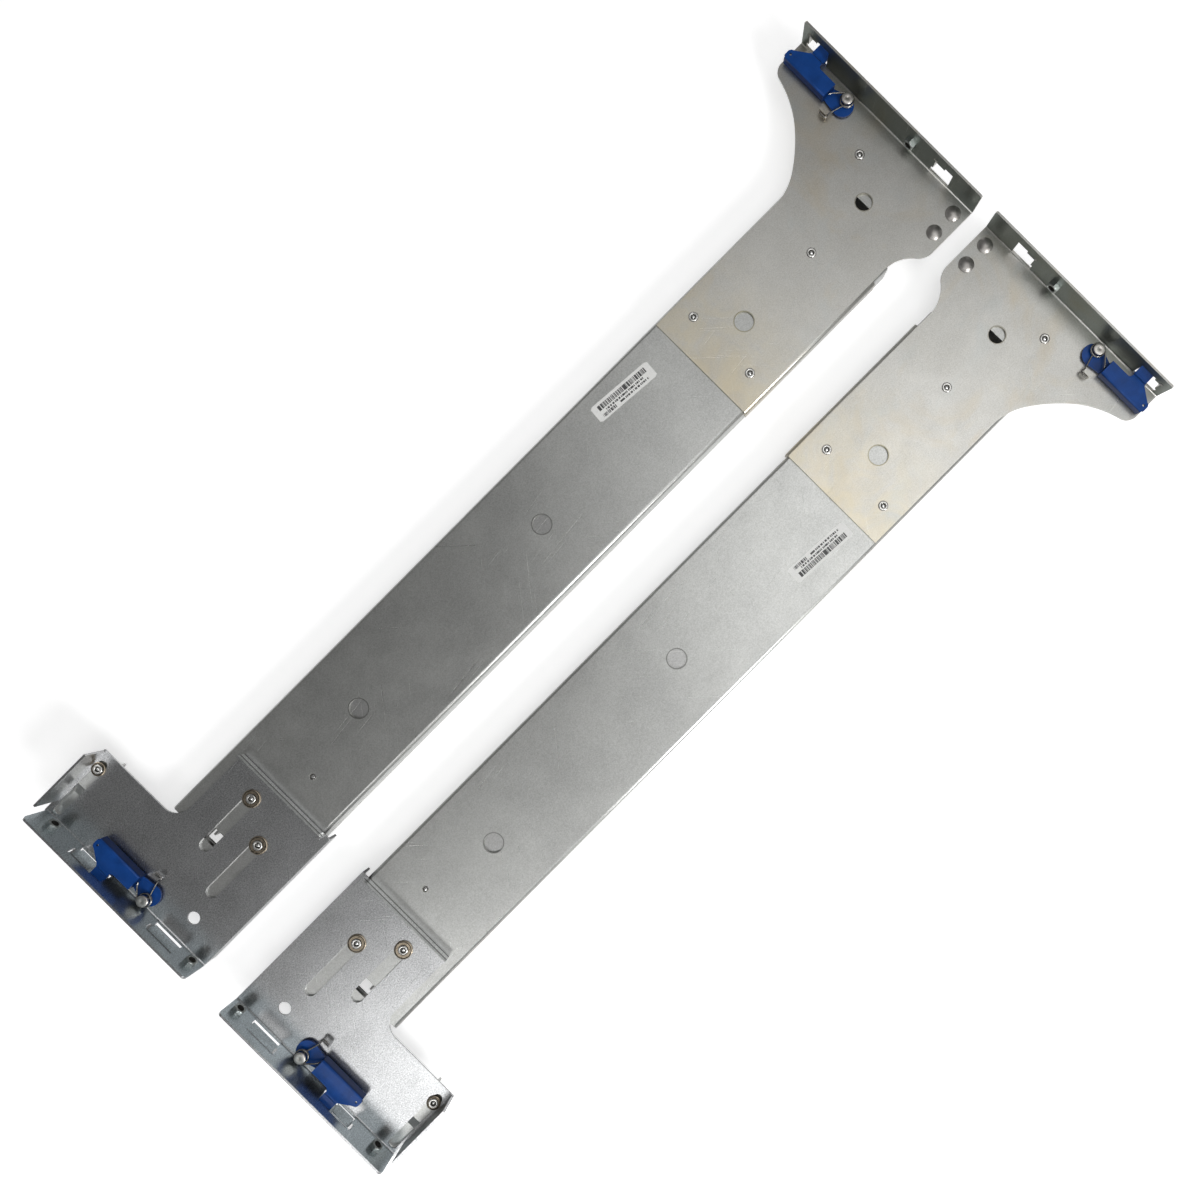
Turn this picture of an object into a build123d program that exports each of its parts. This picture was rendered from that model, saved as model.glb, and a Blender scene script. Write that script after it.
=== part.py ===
"""Sliding server rail pair: two mirrored rails, each with a channel, a fixed front bracket,
a telescoping rear bracket, sprung latches and a three-part ball slide.

Every piece is modelled in its own rail's frame: +X towards the front bracket, +Y towards the
long foot of the brackets, +Z towards the outer face. The centre line of the channel is Y = 0.
The left rail is then moved out by rail_offset, and the right rail is its mirror image.
"""
import os

from build123d import *

# Overall layout
half_span = 378.0
rail_offset = 65.85
outer_face = 21.2
sheet = 1.6
play = 0.15

# Channel
channel_width = 88.9
channel_depth = 20.0
front_overhang = 70.0
rear_overhang = 63.7
channel_front = half_span - front_overhang
channel_rear = rear_overhang - half_span
tongue_length = 31.7
tongue_rear = channel_rear - tongue_length
bend_outside = 2.6
bend_inside = 1.0
access_hole_radius = 6.85
access_hole_rear = (-173.3, 1.0)
access_hole_front = (9.0, 1.0)
window_centre = (channel_rear + 5.4, 9.1)
window_length = 10.4
window_width = 9.0

# Rack flanges and what is cut in them
flange_height = 25.0
hook_reach = 4.2
hook_height = 9.0
rack_hole_level = outer_face + 11.5
opening_low = outer_face + 2.0
opening_height = 15.6
rear_hook_low = outer_face + 2.4
rear_hook_top = outer_face + 9.8
rear_hook_apron = 3.8
tongue_gap = 0.3

# Front bracket
front_rear_edge = half_span - 213.4
front_side_flange = 14.55
front_low_side = -channel_width / 2 - front_side_flange
front_foot = 109.5
front_inner_edge = 42.4
front_wrap_end = half_span - 84.8
front_wrap_gap = 0.15
front_wrap_depth = 12.0
front_hole = (front_rear_edge + 45.1, 0.5)
front_hole_radius = 6.9
stop_hole = (half_span - 50.0, 0.0)
stop_hole_radius = 6.0
front_slot_low = (-34.0, -16.5)
front_slot_high = (85.4, 105.0)

# Rear bracket
rear_front_edge = 126.0 - half_span
rear_side_gap = 3.75
rear_low_side = -channel_width / 2 - rear_side_gap - sheet
rear_foot = 106.6
rear_inner_edge = 35.3
rear_foot_edge = 59.7 - half_span
rear_wrap_depth = 12.0
rear_hole = (19.8 - half_span, -21.0)
rear_hole_radius = 4.6
lip_height = 8.0
foot_wall_height = 22.0
foot_wall_rear = 10.0 - half_span
rear_slot_low = (-29.8, -4.0)
rear_slot_high = (39.6, 70.0)
rear_travel = 46.0

# Telescoping guides
guide_low = (channel_rear + 24.3, -17.2)
guide_high = (channel_rear + 44.1, 9.1)
guide_radius = 4.1
guide_slot_width = 9.0
guide_hole_radius = 2.4
guide_washer_radius = 6.5
washer_thickness = 0.8

# Foot slot and the catch that slides in it
catch_pin = (46.9 - half_span, rear_foot - 7.0)
catch_slot_width = 7.1
catch_slot_rear = 3.2 - half_span
catch_slot_front = 54.0 - half_span
catch_pin_radius = 3.3
catch_washer_radius = 5.0
catch_travel = 38.0
catch_plate_rear = 1.9 - half_span
catch_plate_front = 56.9 - half_span
catch_step = (22.0 - half_span, 29.0 - half_span)
catch_joggle = 2.0

# Small rivets, domed rivets and clinch nuts
rivet_shank = 2.0
rivet_head = 3.5
rivet_head_height = 0.8
rivet_tail = 3.0
hole_clearance = 0.05
front_rivet_low = (front_rear_edge + 22.3, -27.9)
front_rivet_high = (front_rear_edge + 22.3, 27.9)
stop_rivet = (half_span - 28.5, 25.5)
slide_rivet_front = (half_span - 101.0, 1.0)
slide_rivet_rear = (channel_rear + 84.3, -10.0)
flush_rivet_radius = 2.6
dome_radius = 5.6
dome_height = 2.8
dome_rear = (half_span - 30.5, front_low_side + 9.0)
dome_front = (half_span - 11.8, front_low_side + 9.0)
dome_shank = 2.5
nut_radius = 4.6
nut_height = 4.0
nut_bore = 2.5
front_nut_side = 4.0
rear_nut_low = -42.3
rear_nut_high = 91.05

# Stop plate under the front bracket
stop_plate_low = front_low_side + 2.0
stop_plate_high = 36.0
stop_plate_front = half_span - 4.0
stop_plate_wall = 12.0
stop_plate_corner = 7.0

# Latches
rear_pivot = (7.4 - half_span, 11.2)
front_pivot = (half_span - 10.0, 57.2)
pin_radius = 2.5
pin_clearance = 0.08
pin_head_radius = 4.1
pin_head_height = 1.5
pin_top = 8.0
lever_floor = 0.8
hub_radius = 8.0
hub_shift = 3.7
handle_start = 12.4
handle_end = 51.8
handle_near = -0.3
handle_far = 10.0
handle_level = 7.0
handle_skirt = 1.6
handle_eye = (6.8, 48.9)
handle_eye_radius = 0.9
inner_corner = 2.6
tab_low = 29.0
tab_high = 40.0
tab_reach_past = 6.0
tab_drop = 2.4
tab_fold = -3.0
coil_radius = 4.6
wire = 1.1
post_shift = (17.0, 6.0)
post_width = 6.0
post_height = 6.5

# Ball slide
slide_rear = channel_rear - 3.7
slide_front = half_span - 6.0
slide_half_width = 22.0
slide_top = outer_face - sheet
slide_low = 5.0
race_gap = 2.8
ball_radius = 1.7
race_radius = 2.0
outer_ball_level = 11.5
inner_ball_level = 7.0
middle_top = 16.2
middle_low = 3.4
inner_top = 11.0
strip_thickness = 1.0
strip_height = 6.0
strip_length = 200.0
strip_rear = -40.0
balls_per_strip = 3
ball_pitch = 84.0
server_hole_radius = 2.3
server_holes = (-260.0, 340.0)
spare_holes = (-60.0, 140.0)
member_slot = (26.0, 12.0)

# Sticker
label_length = 52.0
label_width = 12.7
label_thickness = 0.2
left_label = (front_rear_edge - 49.2, 25.7, -4.5)
right_label = (front_rear_edge - 31.6, 19.8, 3.2)

web_top = outer_face + sheet
middle_half_width = slide_half_width - sheet - race_gap
inner_half_width = middle_half_width - sheet - race_gap
outer_ball_side = slide_half_width - sheet - race_gap / 2
inner_ball_side = middle_half_width - sheet - race_gap / 2


def prism(radius, bottom, height, sides=12):
    """Adds a many-sided disc to the part that is being built."""
    with BuildSketch(Plane.XY.offset(bottom)) as outline:
        RegularPolygon(radius, sides)
    extrude(outline.sketch, amount=height)


def rivet_blank(grip, tail_height):
    """A rivet with its head's seat at Z = 0 and its grip below."""
    with BuildPart() as blank:
        prism(rivet_head, 0, rivet_head_height, 10)
        prism(rivet_shank, -grip, grip, 6)
        prism(rivet_tail, -grip - tail_height, tail_height, 6)
    return blank.part


def shoulder_blank(shoulder, shoulder_length, washer, stem):
    """A shoulder rivet with a flush tail; the shoulder starts at Z = 0."""
    top = shoulder_length + washer
    with BuildPart() as blank:
        prism(rivet_head, top, rivet_head_height, 10)
        prism(rivet_shank, shoulder_length, washer, 6)
        prism(shoulder, 0, shoulder_length, 10)
        prism(guide_hole_radius - hole_clearance, -stem, stem, 6)
    return blank.part


def washer_blank(radius):
    """A washer that sits under a shoulder rivet's head."""
    with BuildPart() as blank:
        with BuildSketch():
            RegularPolygon(radius, 12)
            RegularPolygon(rivet_shank + 2 * hole_clearance, 6, mode=Mode.SUBTRACT)
        extrude(amount=washer_thickness)
    return blank.part


def latch_lever(flange_distance):
    """A latch lever with its pivot at the origin, its handle along +Y and its tab along -X."""
    reach = flange_distance + tab_reach_past
    low = web_top + lever_floor
    high = web_top + handle_level
    with BuildPart() as lever:
        # Hub plate, which is the low level
        with BuildSketch(Plane.XY.offset(low)):
            with Locations((hub_shift, 0.3)):
                RegularPolygon(hub_radius, 20)
            with BuildLine():
                Polyline(
                    (hub_shift - hub_radius, 0.3),
                    (handle_near, handle_start),
                    (handle_far, handle_start),
                    (hub_shift + hub_radius, 0.3),
                    close=True,
                )
            make_face()
            RegularPolygon(pin_radius + pin_clearance, 16, mode=Mode.SUBTRACT)
        extrude(amount=sheet)
        # Step up to the handle
        with BuildSketch(Plane.XY.offset(low)):
            with Locations((handle_near, handle_start)):
                Rectangle(handle_far - handle_near, sheet, align=(Align.MIN, Align.MIN))
        extrude(amount=high + sheet - low)
        # Handle, with an eye near its tip
        with BuildSketch(Plane.XY.offset(high)) as handle_outline:
            with BuildLine():
                Polyline(
                    (handle_far, handle_start),
                    (handle_near, handle_start),
                    (handle_near, tab_low - inner_corner),
                )
                RadiusArc(
                    (handle_near, tab_low - inner_corner),
                    (handle_near - inner_corner, tab_low),
                    -inner_corner,
                )
                Polyline(
                    (handle_near - inner_corner, tab_low),
                    (tab_fold, tab_low),
                    (tab_fold, tab_high),
                    (3.4, handle_end - 2.6),
                )
                ThreePointArc((3.4, handle_end - 2.6), (4.5, handle_end - 0.7), (6.4, handle_end))
                Polyline(
                    (6.4, handle_end),
                    (handle_far, handle_end),
                    (handle_far, handle_start),
                )
            make_face()
            with Locations(handle_eye):
                RegularPolygon(handle_eye_radius, 8, mode=Mode.SUBTRACT)
        extrude(amount=sheet)
        # Tab, folded down a step and then out through the flange
        with BuildSketch(Plane.XZ.offset(-tab_low)):
            with BuildLine():
                Polyline(
                    (tab_fold - 0.1, high),
                    (tab_fold + 0.4, high),
                    (tab_fold + 0.4, high + sheet),
                    (tab_fold - 0.6, high + sheet),
                    (tab_fold - 2.8, high + sheet - tab_drop),
                    (-reach, high + sheet - tab_drop),
                    (-reach, high - tab_drop),
                    (tab_fold - 2.3, high - tab_drop),
                    close=True,
                )
            make_face()
        extrude(amount=tab_low - tab_high)
        # Folded skirt along the handle's free side
        with BuildSketch(Plane.XY.offset(web_top + handle_skirt)):
            with Locations((handle_far, handle_start)):
                Rectangle(sheet, handle_end - 1.0 - handle_start, align=(Align.MIN, Align.MIN))
        extrude(amount=handle_level + sheet - handle_skirt)
        skirt_edge = (
            lever.edges()
            .filter_by(Axis.Y)
            .filter_by_position(Axis.X, handle_far + sheet - 0.01, handle_far + sheet + 0.01)
            .sort_by(Axis.Z)[-1]
        )
        fillet(skirt_edge, 1.4)
    return lever.part


def latch_pin():
    """A headed pivot pin with a collar under the lever and a flush tail."""
    with BuildPart() as pin:
        prism(pin_radius, outer_face + 0.05, sheet, 8)
        prism(pin_radius + 1.4, web_top, lever_floor - play, 12)
        with BuildSketch(Plane.XY.offset(web_top + lever_floor - play)):
            Circle(pin_radius)
        extrude(amount=pin_top - pin_head_height - lever_floor + play)
        prism(pin_head_radius, web_top + pin_top - pin_head_height, pin_head_height, 16)
    return pin.part


def latch_spring():
    """A torsion spring round the pin: three turns, a leg on the lever and a leg on the post."""
    base = web_top + lever_floor + sheet + 0.3
    inner = coil_radius - wire / 2
    outer = coil_radius + wire / 2
    post_leg = base + wire / 2
    lever_leg = base + 2.5 * wire
    with BuildPart() as spring:
        with BuildSketch(Plane.XY.offset(base)):
            RegularPolygon(outer, 12)
            RegularPolygon(inner, 12, mode=Mode.SUBTRACT)
        extrude(amount=3 * wire)
        # The leg that runs to the post
        with BuildSketch(Plane.YZ.offset(1.0)):
            with Locations((coil_radius - 0.2, post_leg)):
                RegularPolygon(wire / 2, 6)
        extrude(amount=post_shift[0] - 1.0 - play)
        # The leg that runs to the lever's step
        with BuildSketch(Plane(origin=(-4.2, 1.5, lever_leg), z_dir=(0.72, 0.69, 0))):
            RegularPolygon(wire / 2, 6)
        extrude(amount=11.5)
    return spring.part


# Channel
with BuildPart() as channel:
    with BuildSketch(Plane.YZ.offset(channel_rear)):
        with Locations((0, outer_face)):
            Rectangle(channel_width, channel_depth, align=(Align.CENTER, Align.MAX))
        with Locations((0, outer_face - sheet)):
            Rectangle(
                channel_width - 2 * sheet,
                channel_depth,
                align=(Align.CENTER, Align.MAX),
                mode=Mode.SUBTRACT,
            )
    extrude(amount=channel_front - channel_rear)
    long_edges = channel.edges().filter_by(Axis.X)
    fillet(long_edges.group_by(Axis.Z)[-1], bend_outside)
    inner_edges = channel.edges().filter_by(Axis.X).filter_by_position(
        Axis.Z, outer_face - sheet - 0.01, outer_face - sheet + 0.01
    )
    chamfer(inner_edges, bend_inside)
    with BuildSketch(Plane.XY.offset(outer_face - sheet)) as tongue:
        with Locations((tongue_rear, -2.5)):
            Rectangle(channel_rear - tongue_rear + 4.0, 54.0, align=(Align.MIN, Align.CENTER))
        chamfer(tongue.vertices().group_by(Axis.X)[0], 5.0)
    extrude(amount=sheet)
    with BuildSketch(Plane.XY.offset(outer_face - sheet - 0.5)):
        with Locations(access_hole_rear, access_hole_front):
            RegularPolygon(access_hole_radius, 24)
        with Locations(window_centre):
            Rectangle(window_length, window_width)
        with Locations(front_rivet_low, front_rivet_high, slide_rivet_front):
            RegularPolygon(rivet_shank + hole_clearance, 6)
        with Locations(slide_rivet_rear):
            RegularPolygon(flush_rivet_radius + hole_clearance, 6)
        with Locations(guide_low, guide_high):
            RegularPolygon(guide_hole_radius, 6)
    extrude(amount=sheet + 1.0, mode=Mode.SUBTRACT)
    # Tab bent down from the window's front edge
    with BuildSketch(Plane.XY.offset(outer_face - 2.8)):
        with Locations((window_centre[0] + window_length / 2 - 0.1, window_centre[1])):
            Rectangle(1.2, window_width - 2.0, align=(Align.MIN, Align.CENTER))
    extrude(amount=2.8 - sheet / 2)

# Front bracket
with BuildPart() as front_bracket:
    with BuildSketch(Plane.XY.offset(outer_face)):
        with BuildLine():
            wrap_side = -channel_width / 2 - front_wrap_gap - sheet
            Polyline(
                (front_rear_edge, front_inner_edge),
                (front_rear_edge, wrap_side),
                (front_wrap_end, wrap_side),
                (front_wrap_end, wrap_side + bend_outside),
                (half_span - 72.0, wrap_side + bend_outside),
            )
            side_bend = (half_span - 52.5, wrap_side - 6.5)
            side_end = (half_span - 41.5, front_low_side)
            ThreePointArc(
                (half_span - 72.0, wrap_side + bend_outside),
                (half_span - 60.5, wrap_side - 0.4),
                side_bend,
            )
            ThreePointArc(side_bend, (half_span - 47.6, front_low_side + 1.8), side_end)
            Polyline(
                side_end,
                (half_span, front_low_side),
                (half_span, front_foot),
                (half_span - 22.0, front_foot),
            )
            foot_corner = (half_span - 30.6, front_foot - 6.9)
            foot_middle = (half_span - 45.0, front_foot - 36.1)
            foot_root = (half_span - 71.1, front_inner_edge + 7.6)
            foot_start = (half_span - 94.0, front_inner_edge)
            ThreePointArc(
                (half_span - 22.0, front_foot),
                (half_span - 27.4, front_foot - 1.9),
                foot_corner,
            )
            ThreePointArc(foot_corner, (half_span - 36.6, front_foot - 22.9), foot_middle)
            ThreePointArc(foot_middle, (half_span - 57.4, front_inner_edge + 18.2), foot_root)
            ThreePointArc(foot_root, (half_span - 81.8, front_inner_edge + 2.4), foot_start)
            Line(foot_start, (front_rear_edge, front_inner_edge))
        make_face()
    extrude(amount=sheet)
    # Rack flange, folded up
    with BuildSketch(Plane.XY.offset(outer_face)):
        with Locations((half_span, front_low_side)):
            Rectangle(sheet, front_foot - front_low_side, align=(Align.MAX, Align.MIN))
    extrude(amount=flange_height)
    outer_bend = front_bracket.edges().filter_by(Axis.Y).filter_by_position(
        Axis.X, half_span - 0.01, half_span + 0.01
    )
    fillet(outer_bend.sort_by(Axis.Z)[0], bend_outside)
    inner_bend = front_bracket.edges().filter_by(Axis.Y).filter_by_position(
        Axis.X, half_span - sheet - 0.01, half_span - sheet + 0.01
    )
    fillet(inner_bend.sort_by(Axis.Z)[0], bend_inside)
    flange_corners = front_bracket.edges().filter_by(Axis.X).filter_by_position(
        Axis.Z, outer_face + flange_height - 0.01, outer_face + flange_height + 0.01
    )
    chamfer(flange_corners, 1.0)
    # Wrap down over the channel's side
    with BuildSketch(Plane.XY.offset(web_top - front_wrap_depth)):
        with Locations((front_rear_edge, wrap_side)):
            Rectangle(front_wrap_end - front_rear_edge, sheet, align=(Align.MIN, Align.MIN))
    extrude(amount=front_wrap_depth)
    wrap_bend = front_bracket.edges().filter_by(Axis.X).filter_by_position(
        Axis.Y, wrap_side - 0.01, wrap_side + 0.01
    )
    fillet(wrap_bend.sort_by(Axis.Z)[-1], bend_outside)
    # Holes in the web
    with BuildSketch(Plane.XY.offset(outer_face - 0.5)):
        with Locations(front_hole):
            RegularPolygon(front_hole_radius, 24)
        with Locations(stop_hole):
            RegularPolygon(stop_hole_radius, 24)
        with Locations(front_rivet_low, front_rivet_high, slide_rivet_front, stop_rivet):
            RegularPolygon(rivet_shank + hole_clearance, 6)
        with Locations(dome_rear, dome_front):
            RegularPolygon(dome_shank + hole_clearance, 6)
        with Locations(front_pivot):
            RegularPolygon(pin_radius + hole_clearance, 8)
    extrude(amount=sheet + 1.0, mode=Mode.SUBTRACT)
    # Spring post, welded on
    with BuildSketch(Plane.XY.offset(outer_face)):
        with Locations((front_pivot[0] - post_shift[0] - 1.6, front_pivot[1] + post_shift[1])):
            Rectangle(sheet, post_width, align=(Align.MIN, Align.CENTER))
    extrude(amount=sheet + post_height)
    # Flange openings and the nut's hole
    with BuildSketch(Plane.YZ.offset(half_span - sheet - 1.5)):
        for low, high in (front_slot_low, front_slot_high):
            with Locations((low, opening_low)):
                Rectangle(high - low, opening_height, align=(Align.MIN, Align.MIN))
        with Locations((front_nut_side, rack_hole_level)):
            RegularPolygon(nut_bore + 0.5, 8)
    extrude(amount=sheet + 3.0, mode=Mode.SUBTRACT)
    # Hooks that hang on the rack post
    with BuildSketch(Plane.XY.offset(rack_hole_level - hook_height / 2)):
        for root, tip in ((front_slot_low[1], 9.0), (front_slot_high[1], 5.6)):
            with BuildLine():
                Polyline(
                    (half_span - sheet, root + 0.1),
                    (half_span + hook_reach - 1.0, root + 0.1),
                    (half_span + hook_reach, root - 0.9),
                    (half_span + hook_reach, root - tip),
                    (half_span + hook_reach - sheet, root - tip),
                    (half_span + hook_reach - sheet, root - sheet),
                    (half_span - sheet, root - sheet),
                    close=True,
                )
            make_face()
    extrude(amount=hook_height)

# Rear bracket
with BuildPart() as rear_bracket:
    with BuildSketch(Plane.XY.offset(outer_face)):
        with BuildLine():
            Polyline(
                (rear_foot_edge + 12.3, rear_inner_edge),
                (rear_front_edge, rear_inner_edge),
                (rear_front_edge, rear_low_side),
                (-half_span, rear_low_side),
                (-half_span, rear_foot),
                (rear_foot_edge, rear_foot),
                (rear_foot_edge, rear_inner_edge + 13.2),
            )
            TangentArc(
                (rear_foot_edge, rear_inner_edge + 13.2),
                (rear_foot_edge + 12.3, rear_inner_edge),
                tangent=(0, -1),
            )
        make_face()
    extrude(amount=sheet)
    # Rack flange, folded up
    with BuildSketch(Plane.XY.offset(outer_face)):
        with Locations((-half_span, rear_low_side)):
            Rectangle(sheet, rear_foot - 1.5 - rear_low_side, align=(Align.MIN, Align.MIN))
    extrude(amount=flange_height)
    outer_bend = rear_bracket.edges().filter_by(Axis.Y).filter_by_position(
        Axis.X, -half_span - 0.01, -half_span + 0.01
    )
    fillet(outer_bend.sort_by(Axis.Z)[0], bend_outside)
    inner_bend = rear_bracket.edges().filter_by(Axis.Y).filter_by_position(
        Axis.X, -half_span + sheet - 0.01, -half_span + sheet + 0.01
    )
    fillet(inner_bend.sort_by(Axis.Z)[0], bend_inside)
    flange_corners = rear_bracket.edges().filter_by(Axis.X).filter_by_position(
        Axis.Z, outer_face + flange_height - 0.01, outer_face + flange_height + 0.01
    )
    fillet(flange_corners, 3.0)
    # Wall folded up along the foot's end
    with BuildSketch(Plane.XY.offset(outer_face)):
        with Locations((foot_wall_rear, rear_foot)):
            Rectangle(rear_foot_edge - 0.5 - foot_wall_rear, sheet, align=(Align.MIN, Align.MAX))
    extrude(amount=foot_wall_height)
    # Stiffening lip across the front end
    with BuildSketch(Plane.XY.offset(outer_face)):
        with Locations((rear_front_edge, rear_inner_edge)):
            Rectangle(sheet, rear_inner_edge + 45.5, align=(Align.MAX, Align.MAX))
    extrude(amount=sheet + lip_height)
    # Wrap down beside the channel
    with BuildSketch(Plane.XY.offset(web_top - rear_wrap_depth)):
        with Locations((-half_span + 4.0, rear_low_side)):
            Rectangle(rear_front_edge + half_span - 4.0, sheet, align=(Align.MIN, Align.MIN))
    extrude(amount=rear_wrap_depth)
    # Guide slots, foot slot and holes
    with BuildSketch(Plane.XY.offset(outer_face - 0.5)):
        for guide in (guide_low, guide_high):
            slot_length = rear_travel + guide_slot_width
            with Locations((guide[0] - rear_travel / 2, guide[1])):
                Rectangle(slot_length - guide_slot_width, guide_slot_width)
            with Locations(guide, (guide[0] - rear_travel, guide[1])):
                RegularPolygon(guide_slot_width / 2, 20)
        with Locations(((catch_slot_rear + catch_slot_front) / 2, catch_pin[1])):
            Rectangle(catch_slot_front - catch_slot_rear - catch_slot_width, catch_slot_width)
        with Locations(
            (catch_slot_rear + catch_slot_width / 2, catch_pin[1]),
            (catch_slot_front - catch_slot_width / 2, catch_pin[1]),
        ):
            RegularPolygon(catch_slot_width / 2, 20)
        with Locations(rear_hole):
            RegularPolygon(rear_hole_radius, 20)
        with Locations(rear_pivot):
            RegularPolygon(pin_radius + hole_clearance, 8)
    extrude(amount=sheet + 1.0, mode=Mode.SUBTRACT)
    # Spring post, welded on
    with BuildSketch(Plane.XY.offset(outer_face)):
        with Locations((rear_pivot[0] + post_shift[0] + 1.6, rear_pivot[1] + post_shift[1])):
            Rectangle(sheet, post_width, align=(Align.MAX, Align.CENTER))
    extrude(amount=sheet + post_height)
    # Flange openings and the nuts' holes
    with BuildSketch(Plane.YZ.offset(-half_span - 1.5)):
        for low, high in (rear_slot_low, rear_slot_high):
            with Locations((low, opening_low)):
                Rectangle(high - low, opening_height, align=(Align.MIN, Align.MIN))
        with Locations((rear_nut_low, rack_hole_level), (rear_nut_high, rack_hole_level)):
            RegularPolygon(nut_bore + 0.5, 8)
    extrude(amount=sheet + 3.0, mode=Mode.SUBTRACT)
    # Hooks that hang on the rack post, with a wide plate behind the flange
    # The low one's plate passes over the channel's tongue
    for root, tip, apron in (
        (rear_slot_low[1], rear_slot_low[0] + 0.4, rear_hook_low - outer_face - tongue_gap),
        (rear_slot_high[1], 53.0, rear_hook_apron),
    ):
        with BuildSketch(Plane.XY.offset(rear_hook_low)):
            with BuildLine():
                Polyline(
                    (-half_span + sheet, root + 0.1),
                    (-half_span - hook_reach + 1.0, root + 0.1),
                    (-half_span - hook_reach, root - 0.9),
                    (-half_span - hook_reach, tip),
                    (-half_span - hook_reach + sheet, tip),
                    (-half_span - hook_reach + sheet, root - sheet),
                    (-half_span + sheet, root - sheet),
                    close=True,
                )
            make_face()
        extrude(amount=rear_hook_top - rear_hook_low)
        with BuildSketch(Plane.XY.offset(rear_hook_low - apron)):
            with Locations((-half_span - hook_reach, tip)):
                Rectangle(sheet, root - sheet - tip, align=(Align.MIN, Align.MIN))
        extrude(amount=apron)

# Stop plate under the front bracket
with BuildPart() as stop_plate:
    with BuildSketch(Plane.XY.offset(outer_face - sheet)):
        with BuildLine():
            Polyline(
                (stop_hole[0], stop_plate_high),
                (stop_hole[0], stop_plate_low + stop_plate_corner),
                (stop_hole[0] + stop_plate_corner, stop_plate_low),
                (stop_plate_front, stop_plate_low),
                (stop_plate_front, stop_plate_high),
                close=True,
            )
        make_face()
        with Locations(stop_rivet):
            RegularPolygon(rivet_shank + hole_clearance, 6, mode=Mode.SUBTRACT)
        with Locations(dome_rear, dome_front):
            RegularPolygon(dome_shank + hole_clearance, 6, mode=Mode.SUBTRACT)
    extrude(amount=sheet)
    with BuildSketch(Plane.XY.offset(outer_face - stop_plate_wall)):
        with Locations((stop_hole[0] + 10.0, stop_plate_low)):
            Rectangle(stop_plate_front - stop_hole[0] - 10.0, sheet, align=(Align.MIN, Align.MIN))
    extrude(amount=stop_plate_wall)

# Rivets
bracket_rivet = rivet_blank(2 * sheet, 0.9)
slide_rivet_long = rivet_blank(3 * sheet, 0.9)
with BuildPart() as front_rivets:
    with Locations(
        (front_rivet_low[0], front_rivet_low[1], web_top),
        (front_rivet_high[0], front_rivet_high[1], web_top),
        (stop_rivet[0], stop_rivet[1], web_top),
    ):
        add(bracket_rivet)

with BuildPart() as slide_rivets:
    with Locations((slide_rivet_front[0], slide_rivet_front[1], web_top)):
        add(slide_rivet_long)
    with BuildSketch(Plane.XY.offset(slide_top - sheet - 0.9)):
        with Locations(slide_rivet_rear):
            RegularPolygon(flush_rivet_radius, 6)
    extrude(amount=2 * sheet + 0.9)
    with BuildSketch(Plane.XY.offset(slide_top - sheet - 0.9)):
        with Locations(slide_rivet_rear):
            RegularPolygon(flush_rivet_radius + 1.2, 6)
    extrude(amount=0.9)

with BuildPart() as dome_blank:
    prism(dome_radius, 0, 0.6, 14)
    with BuildSketch(Plane.XY.offset(0.6)):
        RegularPolygon(dome_radius, 14)
    extrude(amount=dome_height - 0.6, taper=45)
    prism(dome_shank, -2 * sheet, 2 * sheet, 6)
    prism(4.0, -2 * sheet - 1.2, 1.2, 6)

with BuildPart() as dome_rivets:
    with Locations((dome_rear[0], dome_rear[1], web_top), (dome_front[0], dome_front[1], web_top)):
        add(dome_blank.part)

guide_rivet = shoulder_blank(guide_radius, sheet + play, washer_thickness, sheet - 0.05)
with BuildPart() as guide_rivets:
    with Locations(
        (guide_low[0], guide_low[1], outer_face),
        (guide_high[0], guide_high[1], outer_face),
    ):
        add(guide_rivet)

guide_washer = washer_blank(guide_washer_radius)
with BuildPart() as guide_washers:
    with Locations(
        (guide_low[0], guide_low[1], web_top + play),
        (guide_high[0], guide_high[1], web_top + play),
    ):
        add(guide_washer)

# Clinch nuts on the inner faces of the rack flanges
with BuildPart() as nut_blank:
    with BuildSketch():
        RegularPolygon(nut_radius, 6)
    extrude(amount=nut_height)
    Hole(nut_bore)

with BuildPart() as front_nut:
    with Locations(Location((half_span - sheet, front_nut_side, rack_hole_level), (0, -90, 0))):
        add(nut_blank.part)

with BuildPart() as rear_nuts:
    with Locations(
        Location((-half_span + sheet, rear_nut_low, rack_hole_level), (0, 90, 0)),
        Location((-half_span + sheet, rear_nut_high, rack_hole_level), (0, 90, 0)),
    ):
        add(nut_blank.part)

# Latches
rear_lever_blank = latch_lever(half_span + rear_pivot[0])
front_lever_blank = mirror(latch_lever(half_span - front_pivot[0]), about=Plane.YZ)
pin_blank = latch_pin()
rear_spring_blank = latch_spring()
front_spring_blank = mirror(rear_spring_blank, about=Plane.YZ)

with BuildPart() as rear_latch:
    with Locations((rear_pivot[0], rear_pivot[1], 0)):
        add(rear_lever_blank)

with BuildPart() as rear_latch_pin:
    with Locations((rear_pivot[0], rear_pivot[1], 0)):
        add(pin_blank)

with BuildPart() as rear_latch_spring:
    with Locations((rear_pivot[0], rear_pivot[1], 0)):
        add(rear_spring_blank)

with BuildPart() as front_latch:
    with Locations((front_pivot[0], front_pivot[1], 0)):
        add(front_lever_blank)

with BuildPart() as front_latch_pin:
    with Locations((front_pivot[0], front_pivot[1], 0)):
        add(pin_blank)

with BuildPart() as front_latch_spring:
    with Locations((front_pivot[0], front_pivot[1], 0)):
        add(front_spring_blank)

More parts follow.
